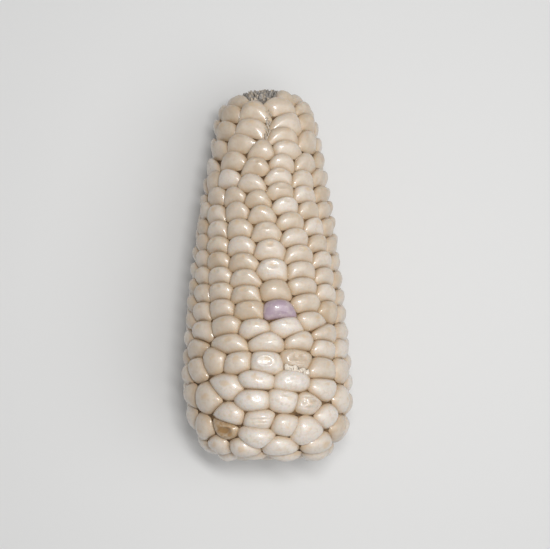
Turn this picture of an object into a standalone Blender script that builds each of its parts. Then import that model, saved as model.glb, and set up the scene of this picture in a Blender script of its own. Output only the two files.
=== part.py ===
"""A husked ear of large-grained white maize, lying on its side.

The ear's axis runs along +Y, from the butt to the tip, and dips a little towards the tip because
the ear tapers. The ear rests on the plane z = 0, and the origin is on that plane, under the middle
of its bounding box. Lengths are in metres.

The white grains are one body with the woody core that they grow from. The other colours are bodies
of their own: the one purple grain, the bare chaffy tip of the cob, and the snapped shank at the butt.
"""

import math
import random

import bmesh
import bpy
import numpy as np
from mathutils import Matrix, Vector
from mathutils.geometry import delaunay_2d_cdt

MM_PER_M = 1000

# Driving dimensions of the ear, measured over the crowns of the grains.
EAR_LENGTH = 0.1275
BUTT_RADIUS = 0.0300
TIP_RADIUS = 0.0163
BULGE = 0.003
BUTT_CREST = 0.0140
BUTT_CURL = 0.0045
BUTT_ROUNDING = 0.030
BUTT_POWER = 2.2
TIP_ROUNDING = 0.012
TIP_POWER = 2.3
BUTT_SKEW = 0.0017
SKEW_LENGTH = 0.055
CURL_POINTS = 60
SIDE_POINTS = 900
LEAST_RADIUS = 0.002

# How the ear lies: the dip of its axis, where along the axis the origin is, and how deep the lowest
# grains are flattened.
TILT = math.radians(5.3)
MIDDLE = 0.0632
FLAT_DEPTH = 0.0009

# Rows of grains. A row that starts part of the way down the ear pushes its neighbours aside, so
# every row is given as (where it starts, where it ends). These are stations: heights on the axis
# above the crest of the butt, or minus the depth inside the hollow of the butt.
TIP_END = EAR_LENGTH
BUTT_END = -1.0
ROWS = (
    (TIP_END, BUTT_END),
    (0.086, 0.026),
    (0.105, 0.004),
    (TIP_END, BUTT_END),
    (TIP_END, -0.003),
    (0.099, 0.009),
    (TIP_END, BUTT_END),
    (TIP_END, BUTT_END),
    (0.104, 0.007),
    (TIP_END, -0.004),
    (TIP_END, BUTT_END),
    (0.084, 0.005),
    (TIP_END, BUTT_END),
    (TIP_END, -0.003),
    (0.100, 0.007),
    (TIP_END, BUTT_END),
)
GUIDE_ROW = 2
SWAY = math.radians(12.5)
SWAY_LENGTH = 0.080
SWAY_TURN = 0.091
ROW_FADE = 0.006

# Grains: their pitch along a row, and how much longer across the row than along it they are.
BUTT_PITCH = 0.0086
PITCH = 0.0059
TIP_PITCH = 0.0056
BUTT_STRETCH = 1.30
STRETCH = 1.8
BUTT_ZONE = 0.040
BUTT_PITCH_END = 0.004
TIP_PITCH_START = 0.8 * EAR_LENGTH
PITCH_SPREAD = (0.93, 1.07)
LAST_GRAIN = 0.55
ROW_STAGGER = 0.5
LAST_GRAIN_SPREAD = 0.12
FIRST_GRAIN = 0.45
ROW_BEGUN = 0.55
JITTER = 0.07
BUTT_JITTER = 0.45
UNEVEN = 0.04
BUTT_UNEVEN = 0.28
SETTLING_STEPS = 25
SETTLING_PUSH = 0.12
END_ROOM = 0.42
GROOVE_DEPTH = 0.0022
TIP_LEAN = 0.45
OUTLINE_POWER = 5
DOME_POWER = 2.5
FIRST_INSET = 0.0002
DOME_RINGS = (0.86, 0.47)
LONG_EDGE = 0.0056
SHORT_EDGE = 0.0012
SEED = 64

# The purple grain, and the pocket that it sits in.
PURPLE_STATION = 0.048
PURPLE_ANGLE = math.radians(9)
POCKET_DEPTH = 0.0062
SEAT_GAP = 0.00035
SEAT_NARROWING = 1.35

# Grains that have their own places on the ear's upper side, from the gap at the tip to the large ones
# of the butt. Each is (station in mm, angle in degrees), and the grains of the rows keep clear of them.
PLACED_GRAINS = (
    (115.6, -14), (118.2, 18), (109.5, -18), (111.5, 27), (107, 20), (104.5, -27), (101.4, -4), (102.5, 21),
    (98.7, -35), (95.9, -9), (97.6, 16), (98, 44), (92.5, -39), (90.3, -14), (92.8, 12), (92.5, 39),
    (86.5, -30), (84.8, -8), (87.6, 14), (87.2, 38), (87.2, -51), (81.2, -26), (79.7, -4), (82.8, 18),
    (82, 41), (81, -50), (75.2, -23), (73.8, 0), (77.6, 22), (76.6, 46), (75.6, -46), (69.2, -21),
    (67.8, 3), (72.2, 25), (71.1, 49), (70.2, -44), (63.8, -19), (61.3, 5), (66.6, 28), (65.8, 53),
    (65, -42), (58.5, -17), (54.2, 7), (61.4, 29), (60.4, 54), (60, -39), (53.3, -16), (56.2, 30),
    (54.8, 54), (54.6, -37), (48.3, -13), (51, 33), (49, 54), (49.1, -35),
    (45, 36), (41, 47), (36.5, 45), (42, -9), (42.5, 15), (43.5, -30),
    (38.5, 25), (38, 0), (37.5, -27), (32.5, -40), (32.5, 22), (31.5, -21), (31, -1), (30, 42),
    (25.5, -8), (25, 17), (23.5, -29), (23, 42), (20, -47), (19, -11), (19, 11), (18, 29), (14, 48),
    (14.5, -30), (12.5, -7), (10.5, 12), (9, 30), (9, -38), (6.5, -11), (4.5, 50), (9.5, -61),
    (4.5, -53), (3, -27), (3.5, 7),
)
CLEAR_OF_PLACED = 0.72

# The two ends of the cob, where no grains grow.
SHANK_HOLE = 0.0085
SHANK_RADIUS = 0.0080
SHANK_FACE = 0.0068
SHANK_HOLE_RIM = BUTT_CURL + 0.0015
SHANK_HOLE_DEPTH = 0.0140
SHANK_DISH = ((0.0013, 0.0), (0.0012, 0.35), (0.0008, 0.62), (0.0, 0.78), (0.0, 0.88), (0.0005, 0.93))
SHANK_RIDGES = 6
SHANK_RIDGE_PITCH = 0.0010
SHANK_RIDGE_START = 0.0012
SHANK_WAIST = 0.955
TIP_RIM = 0.0064
TIP_NOTCH = math.radians(-8)
TIP_NOTCH_DROP = 0.0110
TIP_NOTCH_NARROWING = 8
TIP_LOW_SIDE = math.radians(-90)
TIP_SIDE_DROP = 0.0024
TIP_SIDE_NARROWING = 2
TIP_HOLE_RIM = EAR_LENGTH - 0.0034
TIP_HOLE = 0.0050
TIP_BODY = 0.0044
TIP_HOLE_DEPTH = 0.0065
TIP_PROUD = -0.0020
TIP_DOME = 0.0016
TIP_DOME_STEPS = 4
GLUME_COUNT = 22
GLUME_RADIUS = 0.0007
GLUME_SIDES = 5
GLUME_LENGTH = (0.0020, 0.0034)
GLUME_TAPER = (0.5, 0.8)
GLUME_SQUASH = (1.4, 0.8, 1.0)
GLUME_SPLAY = 0.25
GLUME_UPRIGHT_AT = 0.5
GLUME_LEAN_SPREAD = 0.1
GLUME_EDGE = 0.0003
TIP_SIDES = 16
SHANK_SIDES = 28
SMOOTH_ANGLE = math.radians(50)
GRAIN_ROUGHNESS = 0.35
CHAFF_ROUGHNESS = 0.9
STALK_ROUGHNESS = 0.8
GOLDEN_ANGLE = math.pi * (3 - math.sqrt(5))

WHITE = (0.72, 0.62, 0.49, 1.0)
PURPLE = (0.42, 0.30, 0.40, 1.0)
CHAFF = (0.33, 0.30, 0.27, 1.0)
STALK = (0.52, 0.42, 0.27, 1.0)


def end_rounding(distance, length, power):
    """How far an end has narrowed the ear at this distance from it: 0 at the end, 1 past its rounding."""
    return (1 - np.clip(1 - distance / length, 0, 1) ** power) ** (1 / power)


class Meridian:
    """The ear's outline over the crowns, and the flat map of its surface that the grains are laid out on.

    The outline runs from inside the hollow of the butt, over the butt's crest and along the ear to the
    tip. The map's across direction is the angle round the ear. Its along direction is scaled so that
    a grain, which is wider than it is long, takes up a regular hexagon of the map.
    """

    def __init__(self):
        turn = np.linspace(math.pi / 2, 0, CURL_POINTS)[:-1]
        x = (1 - np.cos(np.linspace(0, math.pi, SIDE_POINTS))) / 2
        axial = EAR_LENGTH * x
        side = BUTT_RADIUS + (TIP_RADIUS - BUTT_RADIUS) * x + BULGE * np.sin(math.pi * x)
        radius = BUTT_CREST + (side - BUTT_CREST) * end_rounding(axial, BUTT_ROUNDING, BUTT_POWER)
        radius *= end_rounding(EAR_LENGTH - axial, TIP_ROUNDING, TIP_POWER)
        self.axial = np.concatenate([BUTT_CURL * (1 - np.cos(turn)), axial])
        self.station = np.concatenate([-BUTT_CURL * (1 - np.cos(turn)), axial])
        self.radius = np.concatenate([BUTT_CREST - BUTT_CURL * np.sin(turn), radius])
        steps = np.hypot(np.diff(self.axial), np.diff(self.radius))
        self.along = np.concatenate([[0], np.cumsum(steps)])
        stretch = STRETCH + (BUTT_STRETCH - STRETCH) * looseness(self.station)
        self.rate = stretch / np.maximum(self.radius, LEAST_RADIUS)
        self.map_y = np.concatenate([[0], np.cumsum(steps * (self.rate[1:] + self.rate[:-1]) / 2)])
        self.lean = TIP_LEAN * self.rate * np.clip(self.station / EAR_LENGTH, 0, 1)
        slope_axial = np.gradient(self.axial, self.along)
        slope_radius = np.gradient(self.radius, self.along)
        length = np.hypot(slope_axial, slope_radius)
        self.normal_axial = -slope_radius / length
        self.normal_radius = slope_axial / length

    def y_at(self, station):
        return float(np.interp(station, self.station, self.map_y))

    def radius_at_y(self, y):
        return float(np.interp(y, self.map_y, self.radius))

    def tip_rim_y(self, angle):
        """The map's along coordinate where the grains stop: lower in a notch, and a little on one side."""
        half = len(self.radius) // 2
        rim = np.interp(-TIP_RIM, -self.radius[half:], self.along[half:])
        notch = ((1 + np.cos(angle - TIP_NOTCH)) / 2) ** TIP_NOTCH_NARROWING
        side = ((1 + np.cos(angle - TIP_LOW_SIDE)) / 2) ** TIP_SIDE_NARROWING
        return np.interp(rim - TIP_NOTCH_DROP * notch - TIP_SIDE_DROP * side, self.along, self.map_y)

    def point(self, angle, y, depth):
        """The point of the ear under this point of the map, at a depth below the crowns.

        Grains lean towards the tip, so what stands above the grooves is shifted that way.
        """
        y = y + (GROOVE_DEPTH - depth) * np.interp(y, self.map_y, self.lean)
        axial = np.interp(y, self.map_y, self.axial)
        radius = np.interp(y, self.map_y, self.radius)
        axial -= depth * np.interp(y, self.map_y, self.normal_axial)
        radius -= depth * np.interp(y, self.map_y, self.normal_radius)
        return on_ear(axial, radius, angle)


def on_ear(axial, radius, angle):
    """A point at this height on the ear's axis, distance from it and angle round it, in the row frame."""
    return PLACE @ Vector((skew_at(axial) + radius * math.sin(angle), axial, radius * math.cos(angle)))


def skew_at(axial):
    """How far the ear's middle is off its axis at this height: the butt is a little lopsided."""
    return BUTT_SKEW * max(0.0, 1 - axial / SKEW_LENGTH) ** 2


def resting_place(meridian):
    """Turns the ear's own frame, with the butt at its origin, into the row frame."""
    lowest = (meridian.radius * math.cos(TILT) + (meridian.axial - MIDDLE) * math.sin(TILT)).max()
    lift = Matrix.Translation((0, 0, lowest - FLAT_DEPTH))
    return lift @ Matrix.Rotation(-TILT, 4, "X") @ Matrix.Translation((0, -MIDDLE, 0))


def looseness(station):
    """How irregular the grains are at this place: 1 at the butt, falling to 0 where the rows are neat."""
    return 1 - np.clip(station / BUTT_ZONE, 0, 1)


def row_weights(station):
    """The share of a full row's width that each row has here: 0 before it starts and after it ends."""
    begun = [np.clip((start - station) / ROW_FADE, 0, 1) if start < TIP_END else 1.0 for start, _ in ROWS]
    going = [np.clip((station - end) / ROW_FADE, 0, 1) for _, end in ROWS]
    return np.array(begun) * np.array(going)


def row_angle(row, station):
    """The angle round the ear of the middle of a row, counted from the guide row, which sways."""
    weights = row_weights(station)
    middles = np.cumsum(weights) - weights / 2
    turns = (middles[row] - middles[GUIDE_ROW]) / weights.sum()
    sway = SWAY * math.cos(2 * math.pi * (station - SWAY_TURN) / SWAY_LENGTH)
    return 2 * math.pi * turns - sway


def pitch_at(station):
    stations = (BUTT_PITCH_END, BUTT_ZONE, TIP_PITCH_START)
    return float(np.interp(station, stations, (BUTT_PITCH, PITCH, TIP_PITCH)))


def first_grains(meridian, draw):
    """Grain centres on the map, row by row, before they settle: (angle, y)."""
    grains = []
    for row in range(len(ROWS)):
        rim = meridian.tip_rim_y(row_angle(row, EAR_LENGTH))
        end = float(np.interp(rim, meridian.map_y, meridian.along))
        first = LAST_GRAIN + ROW_STAGGER * (row % 2) + draw.uniform(-LAST_GRAIN_SPREAD, LAST_GRAIN_SPREAD)
        along = end - TIP_PITCH * first
        while along > FIRST_GRAIN * BUTT_PITCH:
            station = float(np.interp(along, meridian.along, meridian.station))
            if row_weights(station)[row] > ROW_BEGUN:
                spread = (JITTER + (BUTT_JITTER - JITTER) * looseness(station)) * math.pi / len(ROWS)
                y = float(np.interp(along, meridian.along, meridian.map_y))
                grains.append([row_angle(row, station) + draw.gauss(0, spread), y + draw.gauss(0, spread)])
            along -= pitch_at(station) * draw.uniform(*PITCH_SPREAD)
    return np.array(grains)


def with_placed_grains(grains, meridian):
    """Puts the purple grain and the placed grains first, and takes out what stands in their way."""
    placed = [[PURPLE_ANGLE, meridian.y_at(PURPLE_STATION)]]
    for station, degrees in PLACED_GRAINS:
        placed.append([math.radians(degrees), meridian.y_at(station / MM_PER_M)])
    placed = np.array(placed)
    across = (grains[:, None, 0] - placed[None, :, 0] + math.pi) % (2 * math.pi) - math.pi
    along = grains[:, None, 1] - placed[None, :, 1]
    station = np.interp(grains[:, 1], meridian.map_y, meridian.station)
    width = np.array([2 * math.pi / row_weights(s).sum() for s in station])
    clear = np.hypot(across, along).min(axis=1) > CLEAR_OF_PLACED * width
    return np.vstack([placed, grains[clear]])


def settled(grains, meridian, draw):
    """The grains after they have pushed each other to about one row's width apart on the map.

    The placed grains come first and stay where they are.
    """
    free = np.arange(len(grains)) > len(PLACED_GRAINS)
    station = np.interp(grains[:, 1], meridian.map_y, meridian.station)
    uneven = UNEVEN + (BUTT_UNEVEN - UNEVEN) * looseness(station)
    sizes = 1 + uneven * np.array([draw.uniform(-1, 1) for _ in grains])
    for _ in range(SETTLING_STEPS):
        station = np.interp(grains[:, 1], meridian.map_y, meridian.station)
        width = np.array([2 * math.pi / row_weights(s).sum() for s in station]) * sizes
        across = (grains[:, None, 0] - grains[None, :, 0] + math.pi) % (2 * math.pi) - math.pi
        along = grains[:, None, 1] - grains[None, :, 1]
        near = (width[:, None] + width[None, :]) / 2
        distance = np.hypot(across, along) / near
        push = np.clip(1.0 - distance, 0, None) * (distance > 0) / np.maximum(distance, 0.05)
        grains[:, 0] += SETTLING_PUSH * (push * across).sum(axis=1) * free
        grains[:, 1] += SETTLING_PUSH * (push * along).sum(axis=1) * free
        room = END_ROOM * width
        grains[:, 1] = np.clip(grains[:, 1], room, meridian.tip_rim_y(grains[:, 0]) - room)
    return grains


def guard_ring(rim, side, count):
    """Points past the last grains, which stop the cells of those grains at the bare end of the cob."""
    angles = 2 * math.pi * np.arange(count) / count - math.pi
    past = side * END_ROOM * 2 * math.pi / count
    return np.column_stack([angles, rim(angles) + past])


def circumcentre(a, b, c):
    (ax, ay), (bx, by), (cx, cy) = a, b, c
    twice = 2 * (ax * (by - cy) + bx * (cy - ay) + cx * (ay - by))
    aa, bb, cc = ax * ax + ay * ay, bx * bx + by * by, cx * cx + cy * cy
    across = (aa * (by - cy) + bb * (cy - ay) + cc * (ay - by)) / twice
    along = (aa * (cx - bx) + bb * (ax - cx) + cc * (bx - ax)) / twice
    return np.array([across, along])


class Layout:
    """Where the grains are on the map, which grains touch, and the corners at which three of them meet."""

    def __init__(self, meridian):
        draw = random.Random(SEED)
        first = with_placed_grains(first_grains(meridian, draw), meridian)
        self.grains = settled(first, meridian, draw)
        self.grains[:, 0] = (self.grains[:, 0] + math.pi) % (2 * math.pi) - math.pi
        self.count = len(self.grains)
        tip_rows = round(row_weights(EAR_LENGTH).sum())
        butt_rows = round(row_weights(-BUTT_CURL).sum())
        tip = guard_ring(meridian.tip_rim_y, 1, tip_rows)
        butt = guard_ring(np.zeros_like, -1, butt_rows)
        self.find_cells(np.vstack([self.grains, butt, tip]))

    def find_cells(self, sites):
        """Delaunay triangles over the map, repeated on both sides because it wraps round the ear."""
        turns = np.array([[-2 * math.pi, 0], [0, 0], [2 * math.pi, 0]])
        spread = np.vstack([sites + turn for turn in turns])
        total = len(sites)
        triangles = delaunay_2d_cdt([Vector(p) for p in spread], [], [], 0, 1e-9)[2]
        self.corners = {}
        rings = [[] for _ in range(self.count)]
        for triangle in triangles:
            for index in triangle:
                grain = index - total
                if 0 <= grain < self.count:
                    key = tuple(sorted(k % total for k in triangle))
                    centre = circumcentre(*(spread[k] for k in triangle))
                    rings[grain].append((key, centre))
                    self.corners[key] = centre
        self.cells = []
        self.neighbours = []
        for grain, ring in enumerate(rings):
            middle = self.grains[grain]
            ring.sort(key=lambda item: math.atan2(item[1][0] - middle[0], item[1][1] - middle[1]))
            self.cells.append(ring)
            touching = {k for key, _ in ring for k in key} - {grain}
            steps = [self.wrapped(sites[k] - middle) for k in sorted(touching)]
            self.neighbours.append(np.array(steps))

    @staticmethod
    def wrapped(step):
        return np.array([(step[0] + math.pi) % (2 * math.pi) - math.pi, step[1]])

    def fill(self, grain, offset):
        """How far a point is out from a grain's centre: 0 at the centre and about 1 at its outline."""
        steps = self.neighbours[grain]
        reach = (steps @ offset) / ((steps**2).sum(axis=1) / 2)
        return float((np.clip(reach, 0, None) ** OUTLINE_POWER).sum() ** (1 / OUTLINE_POWER))


def dome_depth(fill):
    """How far the grain's skin lies below its crown."""
    return GROOVE_DEPTH * (1 - math.sqrt(max(0.0, 1 - fill**DOME_POWER)))


def material(name, colour, roughness):
    made = bpy.data.materials.new(name)
    made.use_nodes = True
    shader = made.node_tree.nodes["Principled BSDF"]
    shader.inputs["Base Color"].default_value = colour
    shader.inputs["Roughness"].default_value = roughness
    shader.inputs["Metallic"].default_value = 0.0
    return made


def new_object(name, mesh, colour, roughness):
    """Puts the mesh in the ear's collection as an object, with its round edges shaded smooth."""
    mesh.shade_smooth()
    mesh.set_sharp_from_angle(angle=SMOOTH_ANGLE)
    mesh.materials.append(material(name, colour, roughness))
    made = bpy.data.objects.new(name, mesh)
    EAR.objects.link(made)
    return made


def finished_mesh(name, bm):
    """The bmesh as a mesh, with its faces out."""
    bmesh.ops.recalc_face_normals(bm, faces=bm.faces)
    mesh = bpy.data.meshes.new(name)
    bm.to_mesh(mesh)
    bm.free()
    return mesh


def map_spot(bm):
    """The layer that holds each vertex's place on the map."""
    layers = bm.verts.layers.float_vector
    return layers.get("map_spot") or layers.new("map_spot")


def grain_rings(bm, face, layout, meridian, grain):
    """Raises one cell of the ear's surface into a domed grain: two insets, each moved onto the dome."""
    middle = layout.grains[grain]
    spot_layer = map_spot(bm)
    for level in DOME_RINGS:
        corners = [loop.vert[spot_layer] for loop in face.loops]
        offsets = [layout.wrapped(np.array(corner[:2]) - middle) for corner in corners]
        bmesh.ops.inset_individual(bm, faces=[face], thickness=FIRST_INSET, depth=0)
        for loop, offset in zip(face.loops, offsets):
            offset = offset * (level / layout.fill(grain, offset))
            spot = middle + offset
            loop.vert.co = meridian.point(spot[0], spot[1], dome_depth(level))
            loop.vert[spot_layer] = Vector((spot[0], spot[1], 0))


def cell_network(layout, meridian):
    """The floor of the grooves: one flat cell for each grain, with the corners shared between cells."""
    bm = bmesh.new()
    spot_layer = map_spot(bm)
    corner_verts = {}
    for key, centre in layout.corners.items():
        vert = bm.verts.new(meridian.point(centre[0], centre[1], GROOVE_DEPTH))
        vert[spot_layer] = Vector((centre[0], centre[1], 0))
        corner_verts[key] = vert
    grain_layer = bm.faces.layers.int.new("grain")
    for grain, ring in enumerate(layout.cells):
        face = bm.faces.new([corner_verts[key] for key, _ in ring])
        face[grain_layer] = grain
    bmesh.ops.remove_doubles(bm, verts=bm.verts, dist=SHORT_EDGE)
    long_edges = [edge for edge in bm.edges if edge.calc_length() > LONG_EDGE]
    split = bmesh.ops.bisect_edges(bm, edges=long_edges, cuts=1)
    for vert in (item for item in split["geom_split"] if isinstance(item, bmesh.types.BMVert)):
        ends = [edge.other_vert(vert)[spot_layer] for edge in vert.link_edges]
        step = layout.wrapped(np.array(ends[1][:2]) - np.array(ends[0][:2]))
        spot = np.array(ends[0][:2]) + step / 2
        vert[spot_layer] = Vector((spot[0], spot[1], 0))
        vert.co = meridian.point(spot[0], spot[1], GROOVE_DEPTH)
    return bm


def close_end(bm, loop_edges, rings):
    """Closes an open end of the ear with a round hole: each ring is (height on the axis, radius)."""
    edges = loop_edges
    for axial, radius in rings:
        made = bmesh.ops.extrude_edge_only(bm, edges=edges)["geom"]
        edges = [item for item in made if isinstance(item, bmesh.types.BMEdge)]
        for vert in {vert for edge in edges for vert in edge.verts}:
            local = PLACE.inverted() @ vert.co
            vert.co = on_ear(axial, radius, math.atan2(local.x, local.z))
        edges = [edge for edge in edges if edge.is_boundary]
    bmesh.ops.holes_fill(bm, edges=edges, sides=0)


def white_grains(layout, meridian, purple):
    """All the white grains and the core that they grow from, with a pocket for the purple grain."""
    bm = cell_network(layout, meridian)
    spot_layer = map_spot(bm)
    grain_layer = bm.faces.layers.int["grain"]
    cells = {face[grain_layer]: face for face in bm.faces}
    middle = meridian.y_at(EAR_LENGTH / 2)
    boundary = [edge for edge in bm.edges if edge.is_boundary]
    butt = [edge for edge in boundary if edge.verts[0][spot_layer].y < middle]
    tip = [edge for edge in boundary if edge.verts[0][spot_layer].y > middle]
    close_end(bm, butt, ((SHANK_HOLE_RIM, SHANK_HOLE), (SHANK_HOLE_DEPTH, SHANK_HOLE)))
    close_end(bm, tip, ((TIP_HOLE_RIM, TIP_HOLE), (EAR_LENGTH - TIP_HOLE_DEPTH, TIP_HOLE)))
    pocket = [np.array(loop.vert[spot_layer][:2]) for loop in cells[purple].loops]
    for grain, face in cells.items():
        if grain == purple:
            sink_pocket(bm, face, meridian)
        else:
            grain_rings(bm, face, layout, meridian, grain)
    flatten_underside(bm)
    new_object("white_grains", finished_mesh("white_grains", bm), WHITE, GRAIN_ROUGHNESS)
    return pocket


def sink_pocket(bm, face, meridian):
    """Sinks one cell into a pocket with straight sides, which narrows towards the ear's axis."""
    spot_layer = map_spot(bm)
    bmesh.ops.inset_individual(bm, faces=[face], thickness=FIRST_INSET, depth=0)
    for loop in face.loops:
        spot = loop.vert[spot_layer]
        loop.vert.co = meridian.point(spot[0], spot[1], POCKET_DEPTH)


def flatten_underside(bm):
    """Cuts the lowest grains off level with the surface that the ear lies on."""
    everything = bm.verts[:] + bm.edges[:] + bm.faces[:]
    below = {"plane_co": (0, 0, 0), "plane_no": (0, 0, -1), "clear_outer": True}
    cut = bmesh.ops.bisect_plane(bm, geom=everything, **below)
    edges = [item for item in cut["geom_cut"] if isinstance(item, bmesh.types.BMEdge)]
    bmesh.ops.holes_fill(bm, edges=edges, sides=0)


def purple_grain(outline, layout, meridian, grain):
    """The one purple grain: its root fills the pocket, and its crown is domed like the others."""
    bm = bmesh.new()
    middle = layout.grains[grain]
    offsets = [layout.wrapped(spot - middle) for spot in outline]
    radius = meridian.radius_at_y(middle[1])
    levels = [(POCKET_DEPTH - SEAT_GAP, None), (GROOVE_DEPTH, None)]
    levels += [(dome_depth(level), level) for level in DOME_RINGS]
    rings = []
    for depth, level in levels:
        ring = []
        for offset in offsets:
            if level is None:
                scale = 1 - SEAT_NARROWING * SEAT_GAP / (radius * np.hypot(*offset))
            else:
                scale = level / layout.fill(grain, offset)
            spot = middle + offset * scale
            ring.append(bm.verts.new(meridian.point(spot[0], spot[1], depth)))
        rings.append(ring)
    loops = [[bm.edges.new((a, b)) for a, b in zip(ring, ring[1:] + ring[:1])] for ring in rings]
    for lower, upper in zip(loops, loops[1:]):
        bmesh.ops.bridge_loops(bm, edges=lower + upper)
    bmesh.ops.holes_fill(bm, edges=loops[0] + loops[-1], sides=0)
    new_object("purple_grain", finished_mesh("purple_grain", bm), PURPLE, GRAIN_ROUGHNESS)


def end_matrix(axial, radius, angle, lean):
    """Places a small piece on an end of the ear: its own +Z points along the ear, leaning inwards."""
    spot = Matrix.Translation(Vector((radius * math.sin(angle), axial, radius * math.cos(angle))))
    turn = Matrix.Rotation(angle, 4, "Y") @ Matrix.Rotation(lean, 4, "X")
    return PLACE @ spot @ turn @ Matrix.Rotation(-math.pi / 2, 4, "X")


def turned(name, profile, sides, sideways):
    """A body of revolution about the ear's axis, from a profile of (height on the axis, radius) points."""
    mesh = bpy.data.meshes.new(name)
    points = [(radius, 0.0, axial) for axial, radius in profile]
    mesh.from_pydata(points, [(k, k + 1) for k in range(len(points) - 1)], [])
    made = bpy.data.objects.new(name, mesh)
    EAR.objects.link(made)
    made.matrix_world = PLACE @ Matrix.Translation((sideways, 0, 0)) @ Matrix.Rotation(-math.pi / 2, 4, "X")
    screw = made.modifiers.new("turn", "SCREW")
    screw.axis = "Z"
    screw.steps = sides
    screw.render_steps = sides
    screw.use_merge_vertices = True
    screw.merge_threshold = 0.00001
    return made


def union_with(body, pieces):
    """Joins the small pieces to the body in one Boolean union, and returns the mesh in world space."""
    group = bpy.data.collections.new(body.name + "_pieces")
    bpy.context.scene.collection.children.link(group)
    for index, bm in enumerate(pieces):
        piece = finished_mesh(f"{body.name}_piece_{index}", bm)
        group.objects.link(bpy.data.objects.new(piece.name, piece))
    union = body.modifiers.new("union", "BOOLEAN")
    union.operation = "UNION"
    union.operand_type = "COLLECTION"
    union.collection = group
    union.solver = "MANIFOLD"
    graph = bpy.context.evaluated_depsgraph_get()
    mesh = bpy.data.meshes.new_from_object(body.evaluated_get(graph))
    mesh.transform(body.matrix_world)
    mesh.name = body.name
    for piece in list(group.objects):
        bpy.data.objects.remove(piece)
    bpy.data.collections.remove(group)
    bpy.data.objects.remove(body)
    return mesh


def cob_tip():
    """The bare tip of the cob: a low dome, covered by the dry glumes of grains that never grew."""
    draw = random.Random(SEED + 1)
    base = EAR_LENGTH - TIP_HOLE_DEPTH + SEAT_GAP
    top = EAR_LENGTH + TIP_PROUD
    profile = [(top, 0.0)]
    for k in range(1, TIP_DOME_STEPS + 1):
        turn = k / TIP_DOME_STEPS * math.pi / 2
        profile.append((top - TIP_DOME * (1 - math.cos(turn)), TIP_BODY * math.sin(turn)))
    profile += [(base, TIP_BODY), (base, 0.0)]
    glumes = []
    for k in range(GLUME_COUNT):
        out = math.sqrt((k + 0.5) / GLUME_COUNT)
        height = top - TIP_DOME * (1 - math.sqrt(1 - out**2))
        length = draw.uniform(*GLUME_LENGTH)
        end = GLUME_RADIUS * draw.uniform(*GLUME_TAPER)
        bm = bmesh.new()
        sizes = {"radius1": GLUME_RADIUS, "radius2": end, "depth": length}
        bmesh.ops.create_cone(bm, cap_ends=True, segments=GLUME_SIDES, **sizes)
        bmesh.ops.scale(bm, vec=GLUME_SQUASH, verts=bm.verts)
        lean = GLUME_SPLAY * (GLUME_UPRIGHT_AT - out)
        lean += draw.uniform(-GLUME_LEAN_SPREAD, GLUME_LEAN_SPREAD)
        place = end_matrix(height, (TIP_BODY - GLUME_EDGE) * out, k * GOLDEN_ANGLE, lean)
        bmesh.ops.transform(bm, matrix=place, verts=bm.verts)
        glumes.append(bm)
    dome = turned("cob_tip", profile, TIP_SIDES, 0.0)
    new_object("cob_tip", union_with(dome, glumes), CHAFF, CHAFF_ROUGHNESS)


def shank():
    """The snapped stalk in the hollow of the butt: a ridged collar round a dished, pithy face."""
    base = SHANK_HOLE_DEPTH - SEAT_GAP
    profile = [(SHANK_FACE + drop, SHANK_RADIUS * share) for drop, share in SHANK_DISH]
    for k in range(SHANK_RIDGES):
        share = 1.0 if k % 2 == 0 else SHANK_WAIST
        profile.append((SHANK_FACE + SHANK_RIDGE_START + k * SHANK_RIDGE_PITCH, SHANK_RADIUS * share))
    profile += [(base, SHANK_RADIUS * SHANK_WAIST), (base, 0.0)]
    stalk = turned("shank", profile[::-1], SHANK_SIDES, skew_at(SHANK_FACE))
    stalk.data.materials.append(material("shank", STALK, STALK_ROUGHNESS))


def main():
    layout = Layout(OUTLINE)
    purple = 0
    pocket = white_grains(layout, OUTLINE, purple)
    purple_grain(pocket, layout, OUTLINE, purple)
    cob_tip()
    shank()
    print(len(layout.grains), "grains")


for old in list(bpy.data.objects):
    bpy.data.objects.remove(old)
EAR = bpy.data.collections.new("maize_ear")
bpy.context.scene.collection.children.link(EAR)
OUTLINE = Meridian()
PLACE = resting_place(OUTLINE)
main()
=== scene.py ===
"""The looks of a husked ear of large-grained white maize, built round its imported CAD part."""

import math
import random

import bpy
import numpy as np
from mathutils import Matrix, Vector
from mathutils.geometry import delaunay_2d_cdt


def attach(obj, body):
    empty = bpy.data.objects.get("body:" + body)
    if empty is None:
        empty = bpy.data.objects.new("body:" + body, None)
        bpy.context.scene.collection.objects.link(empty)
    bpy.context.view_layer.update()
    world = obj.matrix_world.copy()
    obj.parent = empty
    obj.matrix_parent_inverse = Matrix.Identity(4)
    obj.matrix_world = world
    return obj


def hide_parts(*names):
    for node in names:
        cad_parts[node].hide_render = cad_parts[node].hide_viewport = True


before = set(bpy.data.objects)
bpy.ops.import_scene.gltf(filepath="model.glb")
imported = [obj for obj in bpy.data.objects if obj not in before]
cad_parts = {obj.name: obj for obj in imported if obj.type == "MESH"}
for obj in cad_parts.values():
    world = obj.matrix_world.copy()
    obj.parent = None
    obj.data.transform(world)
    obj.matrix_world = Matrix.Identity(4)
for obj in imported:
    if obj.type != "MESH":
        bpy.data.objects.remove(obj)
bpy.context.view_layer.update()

# ------------------------------------------------------------------ the woody cob under the grains
# The ear grows on a woody cob. Between the grains it shows as a brown, chaffy floor at the bottom
# of the grooves. It is one turned body here, a few millimetres under the crowns of the grains,
# hollow at the butt for the snapped shank and at the tip for the bare end.

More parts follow.
